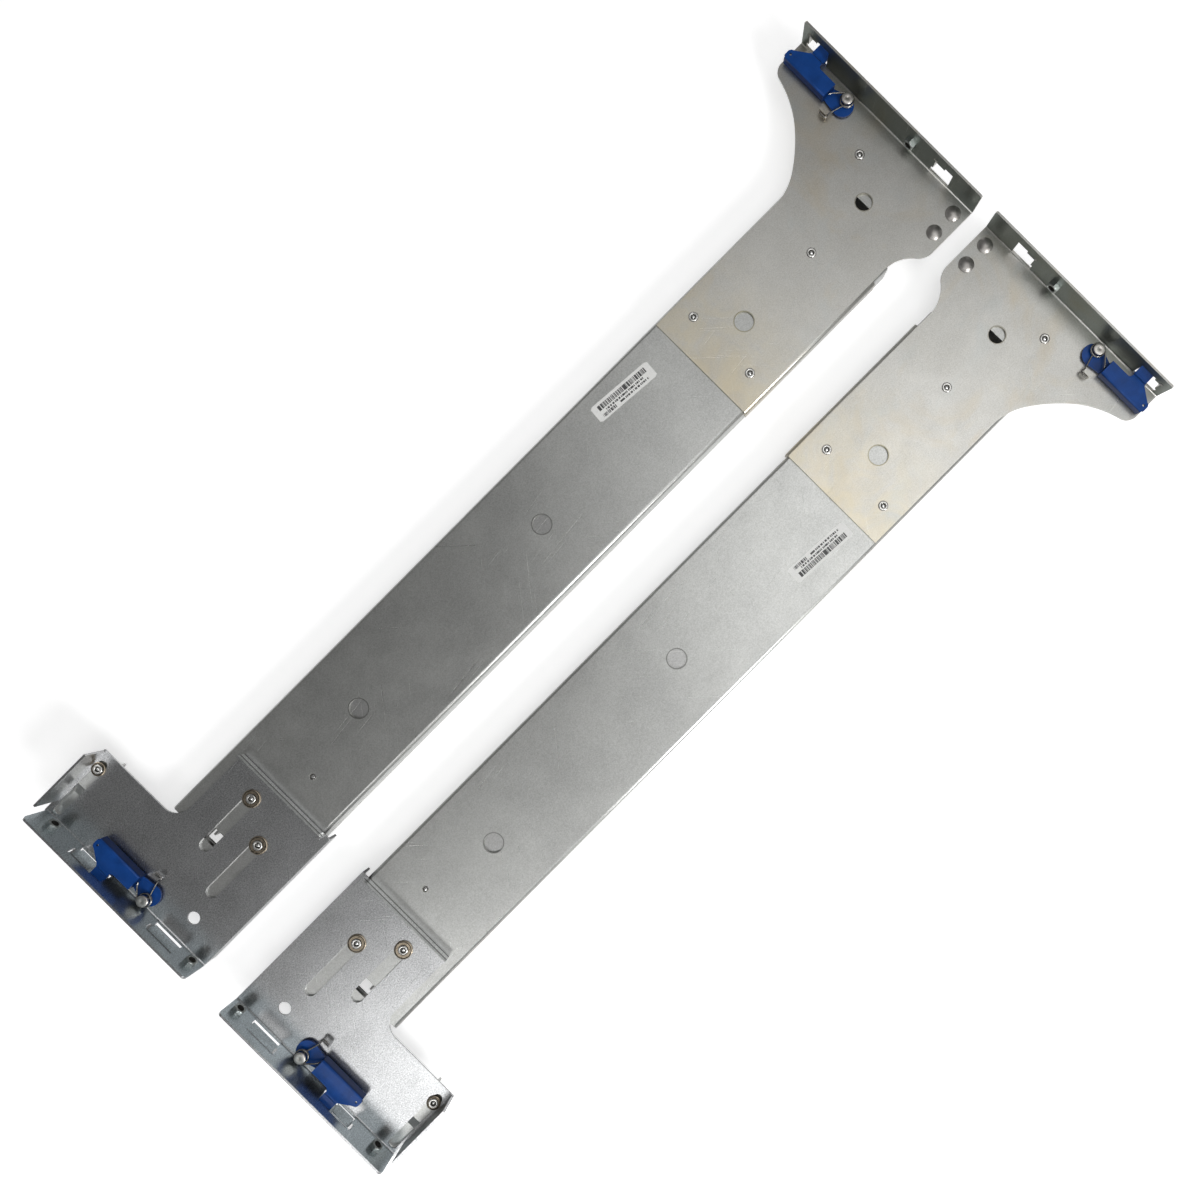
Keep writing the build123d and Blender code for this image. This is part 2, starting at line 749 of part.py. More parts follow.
# Catch that slides under the foot
with BuildPart() as arm_catch:
    catch_top = outer_face - play
    with BuildSketch(Plane.XZ.offset(8.0 - catch_pin[1])):
        with BuildLine():
            Polyline(
                (catch_plate_rear, catch_top - catch_joggle),
                (catch_step[0], catch_top - catch_joggle),
                (catch_step[1], catch_top),
                (catch_plate_front, catch_top),
                (catch_plate_front, catch_top - sheet),
                (catch_step[1] - 0.4, catch_top - sheet),
                (catch_step[0] - 0.4, catch_top - catch_joggle - sheet),
                (catch_plate_rear, catch_top - catch_joggle - sheet),
                close=True,
            )
        make_face()
    extrude(amount=-12.5)
    with BuildSketch(Plane.XY.offset(catch_top - sheet - 0.5)):
        with Locations(catch_pin):
            RegularPolygon(guide_hole_radius, 6)
    extrude(amount=sheet + 1.0, mode=Mode.SUBTRACT)
    with BuildSketch(Plane.XY.offset(outer_face - play - 9.0)):
        with Locations((catch_plate_front, catch_pin[1] - 8.0)):
            Rectangle(26.0, sheet, align=(Align.MAX, Align.MIN))
    extrude(amount=9.0)

catch_rivet_blank = shoulder_blank(catch_pin_radius, sheet + 2 * play, washer_thickness, sheet - 0.05)
with BuildPart() as catch_rivet:
    with Locations((catch_pin[0], catch_pin[1], outer_face - play)):
        add(catch_rivet_blank)

catch_washer_blank = washer_blank(catch_washer_radius)
with BuildPart() as catch_washer:
    with Locations((catch_pin[0], catch_pin[1], web_top + play)):
        add(catch_washer_blank)

# Ball slide: outer member
with BuildPart() as slide_outer:
    with BuildSketch(Plane.YZ.offset(slide_rear)):
        with Locations((0, slide_top)):
            Rectangle(2 * slide_half_width, slide_top - slide_low, align=(Align.CENTER, Align.MAX))
        with Locations((0, slide_top - sheet)):
            Rectangle(
                2 * (slide_half_width - sheet),
                slide_top - slide_low,
                align=(Align.CENTER, Align.MAX),
                mode=Mode.SUBTRACT,
            )
        with Locations((outer_ball_side, outer_ball_level), (-outer_ball_side, outer_ball_level)):
            RegularPolygon(race_radius, 8, mode=Mode.SUBTRACT)
    extrude(amount=slide_front - slide_rear)
    chamfer(slide_outer.edges().filter_by(Axis.X).group_by(Axis.Z)[-1], 1.0)
    with BuildSketch(Plane.XY.offset(slide_top - sheet - 0.5)):
        with Locations(slide_rivet_front):
            RegularPolygon(rivet_shank + hole_clearance, 6)
        with Locations(slide_rivet_rear):
            RegularPolygon(flush_rivet_radius + hole_clearance, 6)
        with Locations((window_centre[0] + 0.8, window_centre[1])):
            Rectangle(window_length + 1.9, window_width)
        with Locations(stop_hole):
            RegularPolygon(stop_hole_radius + 0.3, 16)
    extrude(amount=sheet + 1.0, mode=Mode.SUBTRACT)

# Ball slide: intermediate member
with BuildPart() as slide_middle:
    with BuildSketch(Plane.YZ.offset(slide_rear + 2.0)):
        with Locations((0, middle_top)):
            Rectangle(2 * middle_half_width, middle_top - middle_low, align=(Align.CENTER, Align.MAX))
        with Locations((0, middle_top - sheet)):
            Rectangle(
                2 * (middle_half_width - sheet),
                middle_top - middle_low,
                align=(Align.CENTER, Align.MAX),
                mode=Mode.SUBTRACT,
            )
        with Locations((outer_ball_side, outer_ball_level), (-outer_ball_side, outer_ball_level)):
            RegularPolygon(race_radius, 8, mode=Mode.SUBTRACT)
        with Locations((inner_ball_side, inner_ball_level), (-inner_ball_side, inner_ball_level)):
            RegularPolygon(race_radius, 8, mode=Mode.SUBTRACT)
    extrude(amount=slide_front - slide_rear - 4.0)
    chamfer(slide_middle.edges().filter_by(Axis.X).group_by(Axis.Z)[-1], 1.0)
    with BuildSketch(Plane.XY.offset(middle_top - sheet - 0.5)):
        with Locations((-180.0, 0), (60.0, 0), (stop_hole[0] - 5.0, 0)):
            Rectangle(*member_slot)
        with Locations(window_centre):
            Rectangle(window_length + 0.6, window_width)
    extrude(amount=sheet + 1.0, mode=Mode.SUBTRACT)

# Ball slide: inner member, which carries the server
with BuildPart() as slide_inner:
    with BuildSketch(Plane.YZ.offset(slide_rear + 5.0)):
        Rectangle(2 * inner_half_width, inner_top, align=(Align.CENTER, Align.MIN))
        with Locations((0, sheet)):
            Rectangle(
                2 * (inner_half_width - sheet),
                inner_top,
                align=(Align.CENTER, Align.MIN),
                mode=Mode.SUBTRACT,
            )
        with Locations((inner_ball_side, inner_ball_level), (-inner_ball_side, inner_ball_level)):
            RegularPolygon(race_radius, 8, mode=Mode.SUBTRACT)
    extrude(amount=slide_front - slide_rear - 9.0)
    chamfer(slide_inner.edges().filter_by(Axis.X).group_by(Axis.Z)[0], 0.9)
    with BuildSketch(Plane.XY.offset(-0.5)):
        with Locations(*[(x, 0) for x in server_holes]):
            Circle(server_hole_radius)
        with Locations(*[(x, 0) for x in spare_holes]):
            RegularPolygon(server_hole_radius, 12)
    extrude(amount=sheet + 1.0, mode=Mode.SUBTRACT)


def ball_strips(side, level):
    """Two retainer strips, one in each race, with a hole for every ball."""
    with BuildPart() as strips:
        for sign in (1, -1):
            start = sign * side - strip_thickness / 2
            with BuildSketch(Plane.XY.offset(level - strip_height / 2)):
                with Locations((strip_rear, start)):
                    Rectangle(strip_length, strip_thickness, align=(Align.MIN, Align.MIN))
            extrude(amount=strip_height)
        middle = strip_rear + strip_length / 2
        with BuildSketch(Plane.XZ.offset(-side - 2.0)):
            with Locations((middle, level)):
                with GridLocations(ball_pitch, 1.0, balls_per_strip, 1):
                    RegularPolygon(ball_radius + 0.6, 6)
        extrude(amount=2 * side + 4.0, mode=Mode.SUBTRACT)
    return strips.part


def ball_set(side, level):
    """The balls of both races as separate many-sided solids."""
    middle = strip_rear + strip_length / 2
    with BuildPart() as ball:
        with BuildSketch(Plane.XY.offset(-ball_radius)):
            RegularPolygon(ball_radius, 6)
        extrude(amount=2 * ball_radius)
        chamfer(ball.edges().group_by(Axis.Z)[-1] + ball.edges().group_by(Axis.Z)[0], ball_radius / 2)
    with BuildPart() as balls:
        with Locations((middle, 0, level)):
            with GridLocations(ball_pitch, 2 * side, balls_per_strip, 2):
                add(ball.part)
    return balls.part


with BuildPart() as outer_strips:
    add(ball_strips(outer_ball_side, outer_ball_level))

with BuildPart() as outer_balls:
    add(ball_set(outer_ball_side, outer_ball_level))

with BuildPart() as inner_strips:
    add(ball_strips(inner_ball_side, inner_ball_level))

with BuildPart() as inner_balls:
    add(ball_set(inner_ball_side, inner_ball_level))


def sticker(place):
    """A thin rounded label at (x, y, turn)."""
    x, y, turn = place
    with BuildPart() as label:
        with BuildSketch(Plane.XY.offset(outer_face)):
            with Locations(Location((x, y, 0), (0, 0, turn))):
                Rectangle(label_length, label_width)
        extrude(amount=label_thickness)
        chamfer(label.edges().filter_by(Axis.Z), 0.8)
    return label.part


pieces = {
    "channel": channel.part,
    "front_bracket": front_bracket.part,
    "front_bracket_rivets": front_rivets.part,
    "front_stop_plate": stop_plate.part,
    "front_dome_rivets": dome_rivets.part,
    "front_flange_nut": front_nut.part,
    "front_latch_lever": front_latch.part,
    "front_latch_pin": front_latch_pin.part,
    "front_latch_spring": front_latch_spring.part,
    "rear_bracket": rear_bracket.part,
    "rear_flange_nuts": rear_nuts.part,
    "rear_guide_rivets": guide_rivets.part,
    "rear_guide_washers": guide_washers.part,
    "rear_latch_lever": rear_latch.part,
    "rear_latch_pin": rear_latch_pin.part,
    "rear_latch_spring": rear_latch_spring.part,
    "cable_arm_catch": arm_catch.part,
    "cable_arm_catch_rivet": catch_rivet.part,
    "cable_arm_catch_washer": catch_washer.part,
    "slide_outer_member": slide_outer.part,
    "slide_intermediate_member": slide_middle.part,
    "slide_inner_member": slide_inner.part,
    "slide_rivets": slide_rivets.part,
    "outer_ball_strips": outer_strips.part,
    "outer_balls": outer_balls.part,
    "inner_ball_strips": inner_strips.part,
    "inner_balls": inner_balls.part,
}

os.makedirs("parts", exist_ok=True)
for name, part in pieces.items():
    left = Pos(0, rail_offset, 0) * part
    left.label = "left_" + name
    export_step(left, "parts/left_" + name + ".step")
    right = mirror(left, about=Plane.XZ)
    right.label = "right_" + name
    export_step(right, "parts/right_" + name + ".step")

left = Pos(0, rail_offset, 0) * sticker(left_label)
left.label = "left_label"
export_step(left, "parts/left_label.step")
right = mirror(Pos(0, rail_offset, 0) * sticker(right_label), about=Plane.XZ)
right.label = "right_label"
export_step(right, "parts/right_label.step")
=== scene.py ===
"""Looks of the sliding server rail pair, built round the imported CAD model.

Metres. +X is the front of the rack, +Z the outer face of both rails. Each rail also has its own
plan coordinates in millimetres: x as above and v, which grows towards the long foot.
"""
import math

import bmesh
import bpy
from mathutils import Matrix, Vector


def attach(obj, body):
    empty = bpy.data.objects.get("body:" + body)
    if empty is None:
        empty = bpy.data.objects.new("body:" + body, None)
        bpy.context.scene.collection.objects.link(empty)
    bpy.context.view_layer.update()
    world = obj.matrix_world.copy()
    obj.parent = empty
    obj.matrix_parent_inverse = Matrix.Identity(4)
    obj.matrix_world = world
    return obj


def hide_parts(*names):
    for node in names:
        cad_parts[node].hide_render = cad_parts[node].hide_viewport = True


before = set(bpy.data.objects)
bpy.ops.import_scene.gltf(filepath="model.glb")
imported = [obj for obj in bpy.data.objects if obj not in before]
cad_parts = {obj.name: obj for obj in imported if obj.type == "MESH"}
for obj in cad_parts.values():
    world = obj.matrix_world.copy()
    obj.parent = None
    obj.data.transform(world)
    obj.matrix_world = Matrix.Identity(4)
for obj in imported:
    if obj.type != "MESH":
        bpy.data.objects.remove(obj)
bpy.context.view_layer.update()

MM = 0.001
RAIL_OFFSET = 65.85
SIDES = {"left": 1, "right": -1}
WEB = 22.8            # top of the front bracket, mm
FACE = 21.2           # outer face of the channel, mm
FLANGE_X = 0.372      # beyond this distance from the middle only the rack flanges are upright, m
LIP_X = -0.25         # the lip across the rear bracket's front end, m
# The ring is painted rim shade, in place of the light on a punched hole's rounded edge
RING_WIDTH = 0.55     # the bright or dark ring round a punched hole, mm
RAMP_PER_METRE = 50.0     # turns a distance of up to 20 mm into a place on a colour ramp
LEVEL_PER_METRE = 20.0    # turns a height of up to 50 mm into a place on a colour ramp


# Node helpers

def add(tree, kind, settings=None, inputs=None):
    """Makes a shader node, sets its options and sets or links its inputs."""
    made = tree.nodes.new("ShaderNode" + kind)
    for key, value in (settings or {}).items():
        setattr(made, key, value)
    for key, value in (inputs or {}).items():
        socket = made.inputs[key]
        if isinstance(value, bpy.types.NodeSocket):
            tree.links.new(value, socket)
        else:
            socket.default_value = value
    return made


def ramp(tree, value, *stops):
    """A colour ramp with (position, grey or colour) stops."""
    made = add(tree, "ValToRGB", inputs={"Fac": value})
    while len(made.color_ramp.elements) < len(stops):
        made.color_ramp.elements.new(0.5)
    for element, (position, colour) in zip(made.color_ramp.elements, stops):
        element.position = position
        if isinstance(colour, (int, float)):
            colour = (colour, colour, colour)
        element.color = (*colour, 1.0)
    return made.outputs["Color"]


def mixed(tree, fac, first, second, blend="MIX"):
    """A colour mix of two sockets or colours."""
    made = add(tree, "MixRGB", {"blend_type": blend})
    for key, value in (("Fac", fac), ("Color1", first), ("Color2", second)):
        if isinstance(value, bpy.types.NodeSocket):
            tree.links.new(value, made.inputs[key])
        elif key == "Fac":
            made.inputs[key].default_value = value
        else:
            made.inputs[key].default_value = (*value, 1.0)
    return made.outputs["Color"]


def maths(tree, operation, first, second=0.5):
    """A maths node on two sockets or numbers."""
    made = add(tree, "Math", {"operation": operation})
    for index, value in enumerate((first, second)):
        if isinstance(value, bpy.types.NodeSocket):
            tree.links.new(value, made.inputs[index])
        else:
            made.inputs[index].default_value = value
    return made.outputs[0]


def noise(tree, where, scale, detail=2.0, rough=0.5, distort=0.0):
    """A noise texture's grey value."""
    made = add(tree, "TexNoise", inputs={
        "Vector": where, "Scale": scale, "Detail": detail, "Roughness": rough, "Distortion": distort,
    })
    return made.outputs["Fac"]


def stretched(tree, where, scale, turn=0.0):
    """Coordinates that are turned about Z and then scaled by axis."""
    made = add(tree, "Mapping", {"vector_type": "TEXTURE"}, {
        "Vector": where, "Scale": [1.0 / share for share in scale], "Rotation": (0, 0, turn),
    })
    return made.outputs["Vector"]


def ring(tree, where, centre, inner, outer):
    """1 on a ring round a plan point in millimetres, on both rails, fading at its outer edge."""
    place = add(tree, "SeparateXYZ", inputs={"Vector": where})
    flat = add(tree, "CombineXYZ", inputs={
        "X": place.outputs["X"], "Y": maths(tree, "ABSOLUTE", place.outputs["Y"]),
    }).outputs["Vector"]
    far = add(tree, "VectorMath", {"operation": "DISTANCE"}, {0: flat})
    far.inputs[1].default_value = (centre[0] * MM, (RAIL_OFFSET + centre[1]) * MM, 0.0)
    away = maths(tree, "MULTIPLY", far.outputs["Value"], RAMP_PER_METRE)
    low, high = inner * MM * RAMP_PER_METRE, outer * MM * RAMP_PER_METRE
    return ramp(tree, away, (low - 0.002, 0.0), (low, 1.0), (high, 1.0), (high + 0.02, 0.0))


def new_material(name):
    """An empty node material with its Principled shader."""
    made = bpy.data.materials.new(name)
    made.use_nodes = True
    return made, made.node_tree, made.node_tree.nodes["Principled BSDF"]


def sheet_metal(name, pale, dark, rough, stain=0.0, spangle=0.10, scratch=0.16, flange=None,
                grit=0.16, painted_rim_shade=(), lip_painted_light=False):
    """Plated sheet steel: mottled plating, fine spangle, handling scratches and soft stains.

    A flange colour multiplies the upright faces of the rack flanges as a painted reflection; the listed
    punched holes get a ring of painted rim shade, given as (centre, radius, tint); and the lip option
    paints shade on the seam and the foot of the rear bracket's lip, with painted highlights on its face.
    """
    material, tree, shader = new_material(name)
    where = add(tree, "TexCoord").outputs["Object"]
    mottle = noise(tree, where, 26.0, 6.0, 0.62, 0.4)
    colour = ramp(tree, mottle, (0.30, dark), (0.68, pale))
    cells = add(tree, "TexVoronoi", {"feature": "F1"}, {"Vector": where, "Scale": 520.0})
    cell = ramp(tree, cells.outputs["Color"], (0.0, 0.86), (1.0, 1.0))
    colour = mixed(tree, spangle * 4, colour, mixed(tree, 1.0, colour, cell, "MULTIPLY"))
    grain = noise(tree, where, 1100.0, 3.0, 0.7)
    colour = mixed(tree, grit, colour, ramp(tree, grain, (0.35, 0.0), (0.65, 1.0)), "OVERLAY")
    if stain:
        patches = noise(tree, where, 19.0, 4.0, 0.55, 0.8)
        warm = maths(tree, "MULTIPLY", ramp(tree, patches, (0.50, 0.0), (0.72, 1.0)), stain)
        colour = mixed(tree, warm, colour, (0.60, 0.47, 0.26))
        cool = noise(tree, stretched(tree, where, (1.0, 1.6, 1.0), 0.4), 23.0, 3.0, 0.5, 0.6)
        cool = maths(tree, "MULTIPLY", ramp(tree, cool, (0.55, 0.0), (0.75, 1.0)), stain * 0.7)
        colour = mixed(tree, cool, colour, (0.47, 0.55, 0.58))
        # Yellow chromate, strongest at the bracket's rear edge and patchy towards the front
        along = add(tree, "SeparateXYZ", inputs={"Vector": where}).outputs["X"]
        fading = add(tree, "MapRange", {"interpolation_type": "SMOOTHSTEP"}, {
            "Value": along, "From Min": 0.150, "From Max": 0.262, "To Min": 0.62, "To Max": 0.04,
        }).outputs["Result"]
        broken = noise(tree, where, 46.0, 5.0, 0.62, 1.2)
        yellow = maths(tree, "MULTIPLY", fading, ramp(tree, broken, (0.34, 0.25), (0.62, 1.0)))
        colour = mixed(tree, yellow, colour, (0.70, 0.62, 0.44))
    # Painted shade: a darker ring round each listed hole's rim, in place of the light on a rounded edge
    for centre, radius, tint in painted_rim_shade:
        colour = mixed(tree, ring(tree, where, centre, radius, radius + RING_WIDTH), colour,
                       mixed(tree, 1.0, colour, tint, "MULTIPLY"))
    if lip_painted_light or flange:
        facing = add(tree, "SeparateXYZ", inputs={"Vector": add(tree, "TexCoord").outputs["Normal"]})
        upright = ramp(tree, maths(tree, "ABSOLUTE", facing.outputs["X"]), (0.70, 0.0), (0.90, 1.0))
        place = add(tree, "SeparateXYZ", inputs={"Vector": where})
    if lip_painted_light:
        # Painted shade at the foot of the lip and along its seam, with painted highlight bands on its
        # face between them
        off = maths(tree, "ABSOLUTE", maths(tree, "SUBTRACT", place.outputs["X"], LIP_X))
        at_lip = maths(tree, "MULTIPLY", maths(tree, "LESS_THAN", off, 0.02), upright)
        level = maths(tree, "MULTIPLY", place.outputs["Z"], LEVEL_PER_METRE)
        shade = ramp(tree, level, (0.434, 0.16), (0.450, 0.92), (0.520, 1.0), (0.534, 0.16),
                     (0.546, 0.16), (0.562, 0.78), (0.600, 0.82))
        shade = maths(tree, "MULTIPLY", shade, 1.3)
        colour = mixed(tree, at_lip, colour, mixed(tree, 1.0, colour, shade, "MULTIPLY"))
    # Painted reflection: the upright faces of the rack flanges are multiplied by the flange colour
    if flange:
        at_end = maths(tree, "GREATER_THAN", maths(tree, "ABSOLUTE", place.outputs["X"]), FLANGE_X)
        upright = maths(tree, "MULTIPLY", upright, at_end)
        colour = mixed(tree, upright, colour, mixed(tree, 1.0, colour, flange, "MULTIPLY"))
    marks = 0.0
    for turn, density in ((0.12, 0.69), (0.9, 0.70), (-0.75, 0.70)):
        lines = noise(tree, stretched(tree, where, (14.0, 1500.0, 30.0), turn), 1.0, 1.0)
        area = noise(tree, stretched(tree, where, (1.0, 1.0, 1.0), turn), 17.0, 2.0)
        line = maths(
            tree, "MULTIPLY",
            ramp(tree, lines, (density, 0.0), (density + 0.03, 1.0)),
            ramp(tree, area, (0.52, 0.0), (0.62, 1.0)),
        )
        marks = maths(tree, "MAXIMUM", marks, line)
    colour = mixed(tree, maths(tree, "MULTIPLY", marks, scratch), colour, (0.86, 0.86, 0.84))
    wear = noise(tree, where, 60.0, 5.0, 0.6)
    roughness = maths(tree, "MULTIPLY_ADD", wear, 0.10)
    roughness.node.inputs[2].default_value = rough - 0.05
    roughness = maths(tree, "SUBTRACT", roughness, maths(tree, "MULTIPLY", marks, 0.08))
    height = maths(tree, "ADD", maths(tree, "MULTIPLY", grain, 0.6), maths(tree, "MULTIPLY", marks, -0.8))
    height = maths(tree, "ADD", height, maths(tree, "MULTIPLY", noise(tree, where, 9.0, 1.0), 14.0))
    bump = add(tree, "Bump", inputs={"Height": height, "Strength": 0.35, "Distance": 0.00006})
    shader.inputs["Metallic"].default_value = 1.0
    tree.links.new(colour, shader.inputs["Base Color"])
    tree.links.new(roughness, shader.inputs["Roughness"])
    tree.links.new(bump.outputs["Normal"], shader.inputs["Normal"])
    return material


def turned_metal(name, pale, dark, rough, scale=420.0):
    """Small turned or headed steel parts, with fine marks and a little tarnish."""
    material, tree, shader = new_material(name)
    where = add(tree, "TexCoord").outputs["Object"]
    tarnish = noise(tree, where, scale, 4.0, 0.6, 0.5)
    fine = noise(tree, where, 4200.0, 2.0)
    colour = ramp(tree, tarnish, (0.30, dark), (0.66, pale))
    colour = mixed(tree, 0.12, colour, ramp(tree, fine, (0.35, 0.0), (0.65, 1.0)), "OVERLAY")
    roughness = maths(tree, "MULTIPLY_ADD", tarnish, 0.24)
    roughness.node.inputs[2].default_value = rough - 0.12
    bump = add(tree, "Bump", inputs={"Height": fine, "Strength": 0.2, "Distance": 0.00004})
    shader.inputs["Metallic"].default_value = 1.0
    tree.links.new(colour, shader.inputs["Base Color"])
    tree.links.new(roughness, shader.inputs["Roughness"])
    tree.links.new(bump.outputs["Normal"], shader.inputs["Normal"])
    return material


def latch_paint():
    """Blue baked enamel with orange peel and faint dust, with painted shade on the folded skirts."""
    material, tree, shader = new_material("latch_blue_paint")
    where = add(tree, "TexCoord").outputs["Object"]
    clouds = noise(tree, where, 120.0, 5.0, 0.6)
    colour = ramp(tree, clouds, (0.32, (0.003, 0.038, 0.175)), (0.70, (0.005, 0.056, 0.26)))
    dust = noise(tree, where, 1500.0, 3.0, 0.6)
    colour = mixed(tree, maths(tree, "MULTIPLY", ramp(tree, dust, (0.66, 0.0), (0.74, 1.0)), 0.25),
                   colour, (0.20, 0.28, 0.45))
    normal = add(tree, "SeparateXYZ", inputs={"Vector": add(tree, "NewGeometry").outputs["Normal"]})
    # Painted shade: faces that stand upright are darkened, as light from above leaves the skirts in shade
    skirt_painted_shade = ramp(tree, maths(tree, "ABSOLUTE", normal.outputs["Z"]), (0.35, 1.0), (0.85, 0.0))
    colour = mixed(tree, skirt_painted_shade, colour, mixed(tree, 1.0, colour, (0.34, 0.38, 0.42), "MULTIPLY"))
    roughness = maths(tree, "MULTIPLY_ADD", clouds, 0.2)
    roughness.node.inputs[2].default_value = 0.22
    peel = noise(tree, where, 900.0, 2.0)
    bump = add(tree, "Bump", inputs={"Height": peel, "Strength": 0.25, "Distance": 0.00006})
    shader.inputs["Specular IOR Level"].default_value = 0.22
    shader.inputs["Coat Weight"].default_value = 0.1
    shader.inputs["Coat Roughness"].default_value = 0.12
    tree.links.new(colour, shader.inputs["Base Color"])
    tree.links.new(roughness, shader.inputs["Roughness"])
    tree.links.new(bump.outputs["Normal"], shader.inputs["Normal"])
    return material


def label_paper(name, centre, turn, flip):
    """A paper label whose print is only generic bars and dashes."""
    material, tree, shader = new_material(name)
    where = add(tree, "TexCoord").outputs["Object"]
    local = add(tree, "Mapping", {"vector_type": "TEXTURE"}, {
        "Vector": where, "Location": (centre[0], centre[1], 0.0), "Rotation": (0, 0, turn),
    }).outputs["Vector"]
    parts = add(tree, "SeparateXYZ", inputs={"Vector": local})
    along, across = parts.outputs["X"], maths(tree, "MULTIPLY", parts.outputs["Y"], flip)

    def band(low, high, value):
        """1 where the value lies between two limits in millimetres."""
        above = maths(tree, "GREATER_THAN", value, low * MM)
        below = maths(tree, "LESS_THAN", value, high * MM)
        return maths(tree, "MULTIPLY", above, below)

    def bars(scale, level, seed):
        """Random bars along the label."""
        at = add(tree, "CombineXYZ", inputs={"X": along, "Y": seed}).outputs["Vector"]
        return maths(tree, "GREATER_THAN", noise(tree, at, scale, 0.0), level)

    ink = 0.0
    for scale, level, seed, low, high, left, right in (
        (1500.0, 0.47, 3.1, 0.4, 4.3, -21.5, 21.5),
        (900.0, 0.46, 7.7, -1.9, -0.5, -17.0, 17.0),
        (1500.0, 0.47, 5.3, -4.9, -2.5, -21.5, -10.0),
        (800.0, 0.46, 12.3, -4.4, -3.0, -6.0, 20.0),
    ):
        row = maths(tree, "MULTIPLY", band(low, high, across), band(left, right, along))
        ink = maths(tree, "MAXIMUM", ink, maths(tree, "MULTIPLY", bars(scale, level, seed), row))
    fibre = noise(tree, where, 700.0, 4.0, 0.6)
    paper = ramp(tree, fibre, (0.3, (0.76, 0.76, 0.74)), (0.7, (0.85, 0.85, 0.83)))
    colour = mixed(tree, maths(tree, "MULTIPLY", ink, 0.94), paper, (0.02, 0.02, 0.022))
    bump = add(tree, "Bump", inputs={"Height": fibre, "Strength": 0.15, "Distance": 0.00005})
    shader.inputs["Roughness"].default_value = 0.48
    tree.links.new(colour, shader.inputs["Base Color"])
    tree.links.new(bump.outputs["Normal"], shader.inputs["Normal"])
    return material


zinc = sheet_metal(
    "zinc_plate", (0.60, 0.605, 0.585), (0.52, 0.525, 0.51), 0.35,
    painted_rim_shade=[((-173.3, 1.0), 6.8, (0.50, 0.50, 0.49)), ((9.0, 1.0), 6.8, (0.50, 0.50, 0.49))],
)
zinc_rear = sheet_metal(
    "zinc_bright", (0.58, 0.585, 0.59), (0.48, 0.485, 0.49), 0.30,
    # The lip gets painted shade and highlights, and the flanges a faint blue painted reflection
    spangle=0.16, grit=0.34, scratch=0.10, lip_painted_light=True, flange=(0.93, 1.03, 1.07),
)
zinc_warm = sheet_metal(
    "zinc_chromate", (0.635, 0.63, 0.60), (0.56, 0.555, 0.525), 0.35, stain=0.36,
    painted_rim_shade=[((209.7, 0.5), 6.8, (0.62, 0.60, 0.50)), ((328.0, 0.0), 5.9, (0.62, 0.60, 0.54))],
    # Painted reflection: the dark surroundings mirrored in the front flanges, laid in as a darker colour
    flange=(0.36, 0.40, 0.39),
)
slide_steel = sheet_metal("slide_zinc", (0.60, 0.60, 0.59), (0.50, 0.50, 0.49), 0.34, scratch=0.6)
rivet_steel = turned_metal("rivet_zinc", (0.80, 0.79, 0.76), (0.58, 0.57, 0.54), 0.26)
rivet_core = turned_metal("rivet_core_steel", (0.86, 0.86, 0.85), (0.72, 0.72, 0.70), 0.20)
# Painted shade: a near-black steel laid in rivet bores, under rivet heads, in washer grooves and in nut
# threads
painted_shade_steel = turned_metal("shaded_bore_steel", (0.10, 0.098, 0.09), (0.05, 0.048, 0.044), 0.5)
dome_steel = turned_metal("dome_steel", (0.42, 0.405, 0.385), (0.29, 0.275, 0.26), 0.40, 240.0)
washer_bronze = turned_metal("washer_bronze", (0.46, 0.39, 0.30), (0.27, 0.225, 0.165), 0.30)
pin_steel = turned_metal("pin_steel", (0.66, 0.64, 0.61), (0.52, 0.49, 0.45), 0.36, 300.0)
spring_steel = turned_metal("spring_wire", (0.34, 0.33, 0.31), (0.16, 0.155, 0.15), 0.24, 600.0)
nut_steel = turned_metal("nut_zinc", (0.40, 0.42, 0.41), (0.22, 0.24, 0.235), 0.32)
ball_steel = turned_metal("ball_steel", (0.72, 0.72, 0.71), (0.62, 0.62, 0.61), 0.16)
enamel = latch_paint()


# Mesh helpers

def world_point(side, x, v, z):
    """A rail's plan point as a world position."""
    return Vector((x * MM, SIDES[side] * (RAIL_OFFSET + v) * MM, z * MM))


def finish_mesh(mesh, material, angle=35.0):
    """Smooth shading with sharp edges above an angle, and the material."""
    mesh.polygons.foreach_set("use_smooth", [True] * len(mesh.polygons))
    mesh.set_sharp_from_angle(angle=math.radians(angle))
    if material.name not in [m.name for m in mesh.materials if m]:
        mesh.materials.append(material)
    mesh.update()


def piece(name, bm, materials, body, replaces=()):
    """A mesh piece that rides on a body and stands for CAD nodes."""
    bmesh.ops.recalc_face_normals(bm, faces=bm.faces[:])
    mesh = bpy.data.meshes.new(name)
    bm.to_mesh(mesh)
    bm.free()
    for material in materials:
        mesh.materials.append(material)
    finish_mesh(mesh, materials[0])
    made = bpy.data.objects.new(name, mesh)
    bpy.context.scene.collection.objects.link(made)
    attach(made, body)
    if replaces:
        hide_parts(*replaces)
    return made


